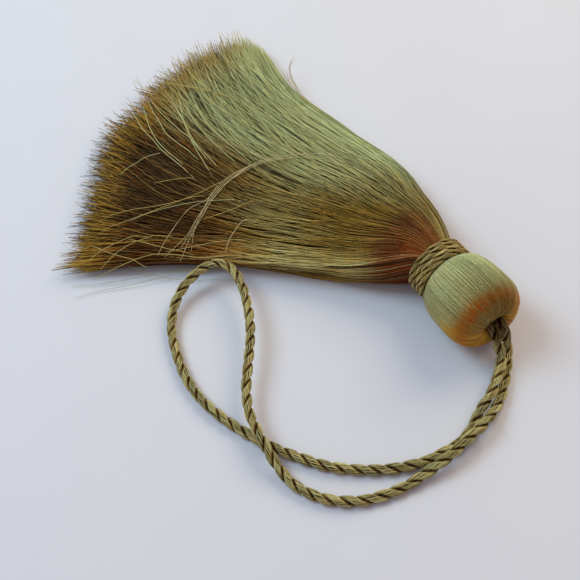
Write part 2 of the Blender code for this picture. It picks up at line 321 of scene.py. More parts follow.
def makeHangingCord(look):
    chance = np.random.default_rng(11)
    length = np.linalg.norm(np.diff(throughPoints(look["route"], 900), axis=0), axis=1).sum()
    steps = round(length / look["lay"] * look["stepsInLay"]) + 1
    middle = throughPoints(look["route"], steps)
    lines, values = pliedThreads(middle, look, chance)
    values["warm"] = values["warm"] + look["warmer"]
    # painted shade: both ends are darker and redder where they go into the head
    reach = np.linspace(0.0, length, steps)
    inside = 1.0 - smoothStep(2.0, 6.0, np.minimum(reach, length - reach))
    values["tone"] = values["tone"] - 0.45 * inside
    values["red"] = values["red"] + 0.40 * inside
    piece = makeTubes("hangingCord", lines, plyRadii(look, steps), cordSilk, 3, values)
    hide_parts("hanging_cord")
    path = [tuple(spot * mm) for spot in throughPoints(look["route"], 130)]
    print("hanging cord:", round(float(length), 1), "mm,", len(lines), "threads")


makeHangingCord(cordLook)


# head: threads from the neck over the ball and into the hole; it is turned and tipped a little
headLook = {
    "yaw": -20.0, "pitch": 2.0, "height": 8.4, "threads": 430, "loose": 60,
    "radius": 0.095, "coreGap": 0.13, "steps": 40,
    # along the head's axis and away from it
    "profile": [
        (-9.6, 5.35), (-8.3, 5.45), (-7.5, 6.2), (-6.4, 7.4), (-4.8, 8.1), (-2.8, 8.52),
        (-1.0, 8.65), (1.0, 8.7), (2.8, 8.65), (4.8, 8.3), (6.7, 7.3), (8.0, 5.4), (8.25, 4.0),
        (7.5, 2.9), (6.2, 2.4), (4.8, 2.2),
    ],
    # each groove's angle round the axis, where it starts and ends, its half width and depth
    "grooves": [
        (0.30, 0.12, 0.62, 0.014, 0.16), (0.42, 0.25, 0.60, 0.010, 0.10),
        (1.05, 0.35, 0.72, 0.010, 0.10), (1.40, 0.15, 0.55, 0.012, 0.12),
        (1.62, 0.15, 0.60, 0.012, 0.14), (1.80, 0.25, 0.75, 0.010, 0.10),
        (2.6, 0.2, 0.8, 0.012, 0.14), (3.6, 0.2, 0.8, 0.012, 0.14),
        (4.5, 0.2, 0.8, 0.012, 0.14), (5.4, 0.2, 0.8, 0.012, 0.14),
    ],
}

headTurn = np.array((Matrix.Rotation(math.radians(headLook["yaw"]), 3, "Z")
                     @ Matrix.Rotation(-math.radians(headLook["pitch"]), 3, "Y")))


def headPoint(along, lateral, rise):
    local = np.stack(np.broadcast_arrays(along, lateral, rise), axis=-1).astype(float)
    return local @ headTurn.T + np.array([0.0, 0.0, headLook["height"]])


def profilePoints(count):
    spots = np.array([(along, radius, 0.0) for along, radius in headLook["profile"]])
    return throughPoints(spots, count)[:, :2]


def pinch(share, radius):
    # the threads close round the two cords, so the hole is a flat slit
    return 1.0 - 0.42 * smoothStep(6.0, 2.6, radius) * (share > 0.5)


def headThreadSet(chance, count, look, loose=False):
    share = np.linspace(0.0, 1.0, look["steps"])
    profile = profilePoints(look["steps"])
    along, radius = profile[:, 0], profile[:, 1]
    start = 2.0 * np.pi * (np.arange(count) + chance.uniform(-0.3, 0.3, count)) / count
    drift = chance.normal(0.0, 0.16 if loose else 0.02, (count, 1)) * share
    size = chance.normal(0.0, 0.005, (count, 1))
    bends = share * chance.uniform(4.0, 11.0, (count, 1)) + chance.uniform(0, 6.28, (count, 1))
    angle = start[:, None] + drift + size * np.sin(bends)
    sink = np.zeros_like(angle)
    for centre, begin, end, width, depth in look["grooves"]:
        near = (angle - centre + np.pi) % (2 * np.pi) - np.pi
        here = smoothStep(begin, begin + 0.15, share) * (1 - smoothStep(end - 0.15, end, share))
        push = np.exp(-(near / width) ** 2 / 2.0) * here
        angle = angle + np.sign(near) * push * width * 0.6
        sink = sink + depth * push
    # threads crowd at the pole, so most of them slip under the others there
    crowd = np.clip(1.0 - radius / 8.7, 0.0, 1.0)
    depth = chance.uniform(0.0, 1.0, (count, 1)) ** 1.5 * crowd * 1.5 * (share > 0.5)
    sink = sink + depth + chance.uniform(-0.03, 0.05, (count, 1))
    if loose:
        sink = sink - 0.10 * np.sin(np.pi * share)
    slope = unit(np.stack([-np.gradient(radius), np.gradient(along)], axis=-1))
    alongs = along - sink * slope[:, 0]
    reach = radius - sink * slope[:, 1]
    spots = headPoint(alongs, reach * np.cos(angle), reach * np.sin(angle) * pinch(share, radius))
    spots[..., 2] = np.maximum(spots[..., 2], 0.16)
    # painted light and shade: a red-brown band before the hole, strongest in front, is partly
    # the threads' own colour and partly painted shade; the lower cheeks are lighter and browner as
    # painted warm light, the top paler green as a painted highlight, and the rim round the hole
    # browner and redder
    top = np.sin(angle)
    front = np.exp(-((angle % (2.0 * np.pi) - 2.1) / 0.95) ** 2)
    band = np.exp(-((share - 0.68 - 0.02 * np.cos(angle)) / 0.075) ** 2) * (0.45 + 0.55 * front)
    cheek = smoothStep(0.35, 0.55, share) * (1.0 - smoothStep(-0.2, 0.75, top))
    green = (1.0 - smoothStep(0.30, 0.62, share)) * smoothStep(0.0, 0.9, top)
    rim = smoothStep(0.70, 0.80, share)
    # painted shade: threads sunk under others or in grooves are darker, browner and redder
    sunk = np.clip(sink, 0.0, 1.0)
    tone = chance.uniform(0.40, 0.66, (count, 1))
    tone = tone + 0.22 * green + 0.36 * band + 0.42 * cheek - 0.4 * sunk
    warm = chance.uniform(0.20, 0.45, (count, 1))
    warm = warm + 0.80 * band + 0.66 * cheek - 0.25 * green + 0.4 * sunk + 0.45 * rim
    red = 0.85 * band + 0.07 * cheek + 0.3 * sunk + 0.12 * rim
    return spots, tone, warm, red


def makeHead(look):
    chance = np.random.default_rng(5)
    packed = [headThreadSet(chance, look["threads"], look),
              headThreadSet(chance, look["loose"], look, True)]
    lines, tone, warm, red = [np.concatenate(rows) for rows in zip(*packed)]
    radii = np.full(lines.shape[:2], look["radius"])
    radii[look["threads"]:] *= 0.8
    piece = makeTubes("headThreads", lines, radii, silk, 3,
                      {"tone": tone, "warm": warm, "red": red})
    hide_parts("thread_bundle")
    # a dark core just under the threads, its darkness painted shade
    profile = profilePoints(30)
    angles = 2.0 * np.pi * np.arange(48) / 48
    slope = unit(np.stack([-np.gradient(profile[:, 1]), np.gradient(profile[:, 0])], axis=-1))
    inside = profile[:, 1] - look["coreGap"] * slope[:, 1]
    rings = headPoint(profile[:, :1] - look["coreGap"] * slope[:, :1],
                      inside[:, None] * np.cos(angles), inside[:, None] * np.sin(angles)
                      * pinch(np.linspace(0.0, 1.0, 30), profile[:, 1])[:, None])
    rings[..., 2] = np.maximum(rings[..., 2], 0.1)
    ids = np.arange(rings[..., 0].size).reshape(rings.shape[:2])
    after = np.roll(ids, -1, axis=1)
    walls = np.stack([ids[:-1], after[:-1], after[1:], ids[1:]], axis=-1).reshape(-1, 4)
    core = makeMesh("headCore", rings.reshape(-1, 3), [walls, ids[:1, ::-1], ids[-1:]], silk,
                    {"tone": 0.3, "warm": 0.5})
    print("head:", len(lines), "threads")


makeHead(headLook)


# neck binding: close turns of a fine two-ply cord
bindingLook = {
    "diameter": 1.25, "lay": 6.8, "stepsInLay": 22, "threads": 11, "threadRadius": 0.09,
    "counterLay": 9.0, "flat": 0.72, "turns": 4.0, "pitch": 1.18, "radius": 6.5, "start": -12.7,
    "warmer": 0.40, "contrast": 1.25,
}


def makeBinding(look):
    chance = np.random.default_rng(21)
    turn = np.linspace(0.0, look["turns"], 97)
    angle = 2.0 * np.pi * turn - np.pi / 2.0
    # the turns lie a little uneven
    slip = 0.22 * np.sin(angle + 0.6) + 0.10 * np.sin(1.37 * angle)
    spots = headPoint(look["start"] + look["pitch"] * turn + slip,
                      look["radius"] * np.cos(angle), look["radius"] * np.sin(angle))
    length = 2.0 * np.pi * look["radius"] * look["turns"]
    steps = round(length / look["lay"] * look["stepsInLay"]) + 1
    middle = throughPoints(spots, steps)
    lines, values = pliedThreads(middle, look, chance)
    values["warm"] = values["warm"] + look["warmer"]
    values["tone"] = look["contrast"] * values["tone"] - 0.06
    piece = makeTubes("neckBinding", lines, plyRadii(look, steps), cordSilk, 3, values)
    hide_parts("neck_binding")
    print("binding:", len(lines), "threads")


makeBinding(bindingLook)


# skirt: threads that leave the neck and fan out on the floor
fanLook = {
    "threadLength": 92.0, "root": -13.4, "rootRadius": 5.55, "rootRise": 0.62, "spread": 0.30,
    # share of the length, near and far headings in degrees, underside, topside and crown
    "stations": [
        (0.00, -34.0, 60.0, 3.0, 12.4, 0.00), (0.06, -27.0, 50.0, 1.6, 13.4, 0.35),
        (0.20, -19.0, 31.0, 0.0, 10.4, 0.40), (0.42, -21.0, 15.0, 0.0, 7.2, 0.35),
        (0.70, -33.0, 13.0, 0.0, 5.4, 0.30), (1.00, -46.0, 4.0, 0.0, 4.4, 0.25),
        (1.15, -52.0, 0.0, 0.0, 4.0, 0.25),
    ],
    "lengths": [(-1.0, 79.0), (-0.5, 84.0), (0.0, 94.0), (0.5, 100.0), (0.8, 101.0), (1.0, 88.0)],
    # lines that the upper threads follow, near side first: across, then x and y to the cut end
    "guides": [
        (-1.0, [(-11.1, -5.6), (-21.2, -6.2), (-30.8, -9.2), (-40.0, -13.4), (-48.9, -18.2),
            (-57.7, -23.3), (-66.3, -28.5), (-74.8, -34.1), (-83.1, -39.9)]),
        (-0.9, [(-11.0, -4.9), (-21.2, -5.4), (-30.8, -8.3), (-40.3, -12.1), (-49.5, -16.3),
            (-58.7, -20.8), (-67.7, -25.4), (-76.8, -30.0), (-86.1, -34.1)]),
        (-0.8, [(-11.0, -4.3), (-21.2, -4.7), (-31.0, -7.3), (-40.6, -10.7), (-50.1, -14.5),
            (-59.5, -18.6), (-68.9, -22.4), (-78.5, -25.8), (-88.4, -28.4)]),
        (-0.65, [(-11.0, -3.4), (-21.8, -3.9), (-32.3, -6.5), (-42.5, -9.8), (-52.8, -13.4),
            (-63.0, -16.7), (-73.5, -19.3), (-84.2, -20.7), (-95.0, -21.0)]),
        (-0.5, [(-11.1, -2.5), (-22.4, -3.6), (-33.7, -5.4), (-44.7, -8.4), (-55.5, -11.8),
            (-66.7, -14.0), (-78.0, -14.9), (-89.4, -14.2), (-100.6, -12.3)]),
        (-0.35, [(-11.2, -1.6), (-23.4, -2.6), (-35.5, -4.3), (-47.5, -7.0), (-59.5, -9.4),
            (-71.7, -9.7), (-83.8, -8.4), (-95.7, -5.6), (-107.5, -2.2)]),
        (-0.2, [(-11.0, -0.8), (-23.8, -1.2), (-36.4, -2.4), (-48.9, -4.8), (-61.6, -6.4),
            (-74.3, -5.5), (-86.7, -2.6), (-98.8, 1.5), (-110.6, 6.4)]),
        (-0.1, [(-11.0, 0.1), (-23.7, 0.3), (-36.4, -0.4), (-49.1, -2.1), (-61.8, -3.0),
            (-74.4, -1.1), (-86.7, 2.1), (-98.6, 6.5), (-110.0, 12.2)]),
        (0.0, [(-10.9, 1.1), (-23.5, 2.4), (-36.1, 3.0), (-48.7, 2.1), (-61.3, 1.1),
            (-73.8, 2.6), (-85.9, 6.2), (-97.2, 11.7), (-108.2, 18.0)]),
        (0.1, [(-10.8, 2.5), (-23.2, 4.4), (-35.7, 5.6), (-48.3, 5.8), (-60.8, 6.1),
            (-73.3, 7.8), (-85.3, 11.3), (-96.6, 16.8), (-107.4, 23.2)]),
        (0.25, [(-10.7, 3.9), (-23.1, 7.2), (-35.8, 9.4), (-48.6, 10.8), (-61.4, 11.9),
            (-74.0, 14.6), (-86.0, 19.3), (-97.2, 25.6), (-107.9, 32.7)]),
        (0.4, [(-10.5, 5.3), (-22.3, 10.1), (-34.7, 13.3), (-47.2, 15.8), (-59.8, 17.8),
            (-72.1, 21.4), (-83.8, 26.3), (-94.8, 32.8), (-104.9, 40.6)]),
        (0.6, [(-10.4, 6.7), (-20.7, 13.3), (-32.0, 17.9), (-44.0, 20.6), (-56.0, 22.9),
            (-67.8, 26.2), (-79.1, 30.7), (-89.9, 36.5), (-99.4, 44.2)]),
        (0.8, [(-10.3, 8.1), (-19.3, 15.6), (-29.6, 21.4), (-40.6, 25.2), (-52.2, 27.1),
            (-63.7, 29.4), (-74.9, 33.1), (-85.3, 38.5), (-94.9, 45.3)]),
        (1.0, [(-10.2, 9.1), (-17.7, 17.1), (-26.8, 23.3), (-36.7, 28.0), (-47.5, 30.1),
            (-58.4, 31.7), (-69.1, 34.1), (-79.4, 38.0), (-88.9, 43.5)]),
    ],
}

# the tables below run a little past the cut ends and past both sides
gridShares = np.linspace(0.0, 1.15, 93)
gridAcross = np.linspace(-1.2, 1.2, 61)
toCut = 81  # so many of the shares reach the cut ends
nearRow, farRow, rowStep = 5, 55, 5  # rows at across -1 and 1, and a fifth of the half width


def makeFanGrid(look):
    # where a thread of each width lies at each share of its length
    table = np.array(look["stations"])
    near = np.interp(gridShares, table[:, 0], table[:, 1])
    far = np.interp(gridShares, table[:, 0], table[:, 2])
    heading = np.radians(near + (gridAcross[:, None] + 1.0) / 2.0 * (far - near))
    lengths = np.interp(gridAcross, *np.array(look["lengths"]).T)[:, None]
    step = np.diff(gridShares, prepend=0.0) * lengths
    root = headPoint(look["root"], look["rootRadius"] * gridAcross, 0.0)[:, None, :2]
    run = np.stack([-np.cos(heading) * step, np.sin(heading) * step], axis=-1)
    return root + np.cumsum(run, axis=1)


fanGrid = makeFanGrid(fanLook)
halfWidth = np.linalg.norm(fanGrid[farRow] - fanGrid[nearRow], axis=-1) / 2.0


def makeFlowGrid(look):
    # the same table for the upper threads, which bow over the lower ones
    places = np.array([across for across, _ in look["guides"]])
    lines = np.array([throughPoints([(x, y, 0.0) for x, y in spots], toCut)[:, :2]
                      for _, spots in look["guides"]])
    # past the cut ends the lines run straight on
    further = np.arange(1, len(gridShares) - toCut + 1)[:, None]
    ahead = (lines[:, -1] - lines[:, -5])[:, None] * further / 4.0
    lines = np.concatenate([lines, lines[:, -1:] + ahead], axis=1)
    inner = np.clip(gridAcross, -1.0, 1.0)
    flow = np.stack([[np.interp(inner, places, lines[:, step, axis]) for axis in range(2)]
                     for step in range(len(gridShares))], axis=0).transpose(2, 0, 1)
    # past the sides the lines keep the spacing that they have there
    beyond = (gridAcross - inner)[:, None, None] * 5.0
    farGap = flow[farRow] - flow[farRow - rowStep]
    nearGap = flow[nearRow + rowStep] - flow[nearRow]
    flow = flow + beyond * np.where(beyond > 0, farGap, nearGap)
    joined = smoothStep(0.0, 0.22, gridShares)[:, None]
    return fanGrid * (1.0 - joined) + flow * joined


flowGrid = makeFlowGrid(fanLook)
midGrid = 0.6 * fanGrid + 0.4 * flowGrid


def softTable(column):
    # one column of the stations, smoothed
    table = np.array(fanLook["stations"])
    values = np.interp(gridShares, table[:, 0], table[:, column])
    for _ in range(6):
        values[1:-1] = (values[:-2] + 2.0 * values[1:-1] + values[2:]) / 4.0
    return values


underside, topside, crown = softTable(3), softTable(4), softTable(5)


def fanPoint(across, rise, share, grid=fanGrid):
    # a place in the bundle: across -1 to 1, rise 0 at the floor to 1 on top
    a = np.clip((across + 1.2) / 2.4 * (len(gridAcross) - 1), 0, len(gridAcross) - 1.001)
    s = np.clip(share / 1.15 * (len(gridShares) - 1), 0, len(gridShares) - 1.001)
    a0, s0 = a.astype(int), s.astype(int)
    fa, fs = (a - a0)[..., None], (s - s0)[..., None]
    flat = (grid[a0, s0] * (1 - fa) * (1 - fs) + grid[a0 + 1, s0] * fa * (1 - fs)
            + grid[a0, s0 + 1] * (1 - fa) * fs + grid[a0 + 1, s0 + 1] * fa * fs)
    back = np.minimum(share, 0.0)[..., None] * fanLook["threadLength"]
    flat = flat - back * headTurn[:2, 0]
    low = np.interp(share, gridShares, underside)
    depth = np.interp(share, gridShares, topside) - low
    depth = depth * (1.0 - np.interp(share, gridShares, crown) * across ** 2)
    return np.concatenate([flat, (low + depth * rise)[..., None]], axis=-1)


def wander(chance, count, share, size, least, most):
    # smooth sideways waves, as many millimetres as size
    total = np.zeros((count, len(share)))
    for _ in range(3):
        turns = fanLook["threadLength"] / chance.uniform(least, most, (count, 1))
        phase = chance.uniform(0.0, 6.28, (count, 1))
        total += np.sin(2.0 * np.pi * turns * share + phase) * chance.normal(0, size, (count, 1))
    return total / 1.7


# each layer's threads: where they lie across and up the bundle, how they gather into locks,
# wave and lift, how short the least of them is, and their colours, with painted shade making
# the lower and near layers darker and browner; "plain" is the share of them that the painted
# shade of the dark and red places leaves mostly as they are
layers = {
    "skirtUnder": {
        "grid": fanGrid, "count": 1400, "steps": 18, "from": 0.0, "across": (-1.0, 1.0),
        "rise": (0.0, 0.66), "radius": 0.110, "clumps": 60, "pull": 0.45, "drift": 0.05,
        "wave": 0.25, "lift": 0.2, "least": 0.90, "bend": 0.0, "tone": (0.1, 0.80), "dull": 1.4,
        "warm": (0.30, 0.85), "plain": 0.05, "seed": 31,
    },
    "skirtNear": {
        "grid": midGrid, "count": 1250, "steps": 24, "from": 0.0, "across": (-1.0, 0.05),
        "rise": (0.50, 1.0), "radius": 0.105, "clumps": 46, "pull": 0.62, "drift": 0.06,
        "wave": 0.30, "lift": 0.30, "least": 0.86, "bend": -0.03, "tone": (-0.30, 1.08),
        "dull": 1.45, "warm": (0.0, 0.50), "plain": 0.13, "seed": 32,
    },
    "skirtFar": {
        "grid": flowGrid, "count": 1250, "steps": 24, "from": 0.0, "across": (-0.10, 1.0),
        "rise": (0.45, 1.0), "radius": 0.110, "clumps": 50, "pull": 0.55, "drift": 0.06,
        "wave": 0.24, "lift": 0.30, "least": 0.84, "bend": 0.02, "tone": (0.20, 1.0),
        "dull": 1.3, "warm": (0.0, 0.25), "plain": 0.08, "seed": 33,
    },
    "skirtOver": {
        "grid": 0.3 * fanGrid + 0.7 * flowGrid, "count": 250, "steps": 34, "from": 0.0,
        "across": (-0.97, 0.85), "rise": (1.0, 1.07), "radius": 0.105, "clumps": 60,
        "pull": 0.35, "drift": 0.16, "wave": 0.80, "lift": 0.40, "least": 0.62, "bend": 0.0,
        "tone": (0.55, 1.0), "dull": 1.0, "warm": (0.0, 0.30), "plain": 0.14, "seed": 34,
    },
    "skirtEnds": {
        "grid": 0.5 * (midGrid + flowGrid), "count": 1300, "steps": 9, "from": 0.66,
        "across": (-0.95, 0.98), "rise": (0.35, 0.92), "radius": 0.110, "clumps": 80,
        "pull": 0.5, "drift": 0.10, "wave": 0.6, "lift": 0.3, "least": 0.92, "bend": 0.0,
        "tone": (0.10, 1.0), "dull": 1.2, "warm": (0.1, 0.7), "plain": 0.0, "seed": 35,
    },
}


def skirtColours(tone, warm, across, rise, share, shadeTaken):
    # the last argument is how far each thread takes the painted shade of the dark and red places
    # places: the far side painted paler and greener as lit, the near side painted golden and dark
    # brown as shade, and the cut ends
    far = smoothStep(-0.20, 0.20, across - 0.32 + 0.42 * share)
    gold = smoothStep(0.05, 0.2, share) * (1.0 - far)
    dark = smoothStep(0.40, 0.72, share) * (1.0 - far)
    ends = smoothStep(0.84, 0.98, share)
    crest = smoothStep(0.35, 0.70, across)
    # painted shade: the dark red zone beside the binding and the brown round it
    side = np.where(across < -0.1, 1.0, 0.62)
    rootShade = shadeTaken * (1.0 - smoothStep(0.06, 0.18, share)) * np.exp(-((across + 0.15) / side) ** 4)
    neck = (1.0 - smoothStep(0.12, 0.42, share)) * smoothStep(-1.0, -0.4, across)
    # painted light on the bundle's two walls, greener on the far one, and on the near edge;
    # painted shade on what lies deep in the bundle
    wall = smoothStep(0.58, 0.90, np.abs(across))
    edge = wall * smoothStep(0.12, 0.40, share) * far
    lit = smoothStep(0.10, 0.20, share) - smoothStep(0.50, 0.75, share)
    lit = lit * smoothStep(0.60, 0.90, -across)
    depth = (1.0 - np.minimum(rise, 1.0)) * (1.0 - 0.9 * wall) * smoothStep(0.08, 0.30, share)
    middle = shadeTaken * dark * (1.0 - ends)
    tone = tone - 0.30 * shadeTaken * neck - 0.20 * gold - 0.50 * middle + 0.32 * lit + 0.18 * wall
    tone = tone + 0.12 * far * smoothStep(0.25, 0.5, share)
    tone = tone + (0.34 - 0.16 * far + 0.30 * crest) * ends
    tone = tone * (1.0 - 0.80 * rootShade) + 0.07 * rootShade - depth
    warm = warm + 0.50 * gold + 0.50 * shadeTaken * dark + 0.55 * neck + (0.60 - 0.55 * crest) * ends
    warm = warm * (1.0 - 0.7 * edge) - 0.15 * lit
    red = 1.5 * rootShade + (0.75 + 0.5 * depth) * middle + 0.4 * gold * depth
    return tone, warm, red.clip(0.0, 1.0)


def layerThreads(look):
    chance = np.random.default_rng(look["seed"])
    count = look["count"]
    near, far = look["across"]
    across = near + (far - near) * (np.arange(count) + chance.uniform(0, 1, count)) / count
    rise = chance.uniform(*look["rise"], count)
    if look["from"] > 0.0:
        share = np.linspace(look["from"], 1.0, look["steps"])
    else:
        share = np.linspace(0.0, 1.0, look["steps"] - 1) ** 1.1
        share = np.concatenate([[-0.03], share])  # starts under the binding
    # most threads are cut nearly even, some are shorter
    stretch = chance.normal(1.0, 0.028, count).clip(0.92, 1.07)
    early = chance.uniform(0.0, 1.0, count) < 0.30
    stretch = np.where(early, chance.uniform(look["least"], 1.0, count), stretch)
    shares = np.where(share < 0, share, share * stretch[:, None])
    # threads gather into locks toward their ends, and nearly half stray from their own lock
    width = (far - near) / look["clumps"]
    lockOf = np.round((across - near) / width - 0.5 + chance.normal(0, 0.6, count))
    target = near + (lockOf + 0.5) * width + chance.normal(0, width * 0.22, count)
    strayed = chance.uniform(0, 1, count) < 0.45
    target = target + chance.normal(0.0, look["drift"], count) * strayed
    pull = look["pull"] * smoothStep(0.05, 0.85, shares)
    wide = across[:, None] + (target - across)[:, None] * pull
    bend = look["bend"] * smoothStep(0.6, 1.1, shares)
    wide = wide + bend * chance.uniform(0, 2, (count, 1))
    half = np.interp(shares, gridShares, halfWidth)
    waves = wander(chance, count, share, look["wave"], 28.0, 80.0)
    waves = waves + wander(chance, count, share, look["wave"] * 0.12, 12.0, 20.0)
    wide = wide + waves * smoothStep(0.02, 0.35, shares) / half
    # at the neck the bundle is round, so its top threads start nearer the middle
    lean = fanLook["rootRise"] * (2.0 * np.clip(rise, 0, 1)[:, None] - 1.0)
    tight = np.sqrt(1.0 - lean ** 2)
    opened = np.clip(shares / fanLook["spread"], 0.0, 1.0)
    wide = wide * (tight + (1.0 - tight) * opened)
    # the sides are soft: what would stand out further is drawn in
    over = np.abs(wide) - 0.93
    wide = np.where(over > 0, np.sign(wide) * (0.93 + 0.12 * np.tanh(over / 0.12)), wide)
    rises = np.minimum(rise[:, None], 1.0 + 0.6 * np.clip(shares, 0.03, 1.0))
    lines = fanPoint(wide, rises, shares, look["grid"])
    lift = wander(chance, count, share, look["lift"], 30.0, 70.0)
    lines[..., 2] += lift * smoothStep(0.05, 0.3, shares)
    lines[..., 2] = np.maximum(lines[..., 2], 0.14)
    dim, bright = look["tone"]
    tone = dim + (bright - dim) * chance.uniform(0, 1, (count, 1)) ** look["dull"]
    warm = chance.uniform(*look["warm"], (count, 1))
    shadeTaken = np.where(chance.uniform(0, 1, (count, 1)) < look["plain"], 0.35, 1.0)
    tone, warm, red = skirtColours(tone, warm, wide, rise[:, None], shares, shadeTaken)
    radii = look["radius"] * (1.0 - 0.5 * smoothStep(0.90, 1.0, share))
    return lines, radii, {"tone": tone, "warm": warm, "red": red}


def makeSkirt():
    for name, look in layers.items():
        lines, radii, values = layerThreads(look)
        piece = makeTubes(name, lines, radii, silk, 3, values)
        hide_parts("thread_bundle")
        print(name + ":", len(lines), "threads")


makeSkirt()


# painted shade: a dark middle of the bundle, seen only between the threads
skirtCoreLook = {
    "side": 0.93, "end": 0.93, "top": 0.50, "under": 0.06, "squeeze": 0.75, "cells": 40,
    "values": {"tone": 0.0, "warm": 0.8, "red": 0.4},
}


def makeSkirtCore(look):
    across = np.linspace(-look["side"], look["side"], look["cells"])
    share = np.linspace(0.0, look["end"], look["cells"])
    wide, far = np.meshgrid(across, share, indexing="ij")
    squeeze = look["squeeze"] + (1.0 - look["squeeze"]) * np.clip(far / 0.3, 0.0, 1.0)
    top = fanPoint(wide * squeeze, np.full(wide.shape, look["top"]), far)
    low = fanPoint(wide * squeeze, np.full(wide.shape, look["under"]), far)
    points = np.concatenate([top.reshape(-1, 3), low.reshape(-1, 3)])
    ids = np.arange(wide.size).reshape(wide.shape)
    under = ids + wide.size
    upper = np.stack([ids[:-1, :-1], ids[:-1, 1:], ids[1:, 1:], ids[1:, :-1]], axis=-1)
    lower = np.stack([under[:-1, :-1], under[1:, :-1], under[1:, 1:], under[:-1, 1:]], axis=-1)
    rim = np.concatenate([ids[0, ::-1], ids[1:, 0], ids[-1, 1:], ids[-2:0:-1, -1]])
    after = np.roll(rim, -1)
    edge = np.stack([rim, after, after + wide.size, rim + wide.size], axis=-1)
    faces = [np.concatenate([upper.reshape(-1, 4), lower.reshape(-1, 4), edge])]
    piece = makeMesh("skirtCore", points, faces, silk, look["values"])
    print("skirt core:", len(faces[0]), "faces")


makeSkirtCore(skirtCoreLook)


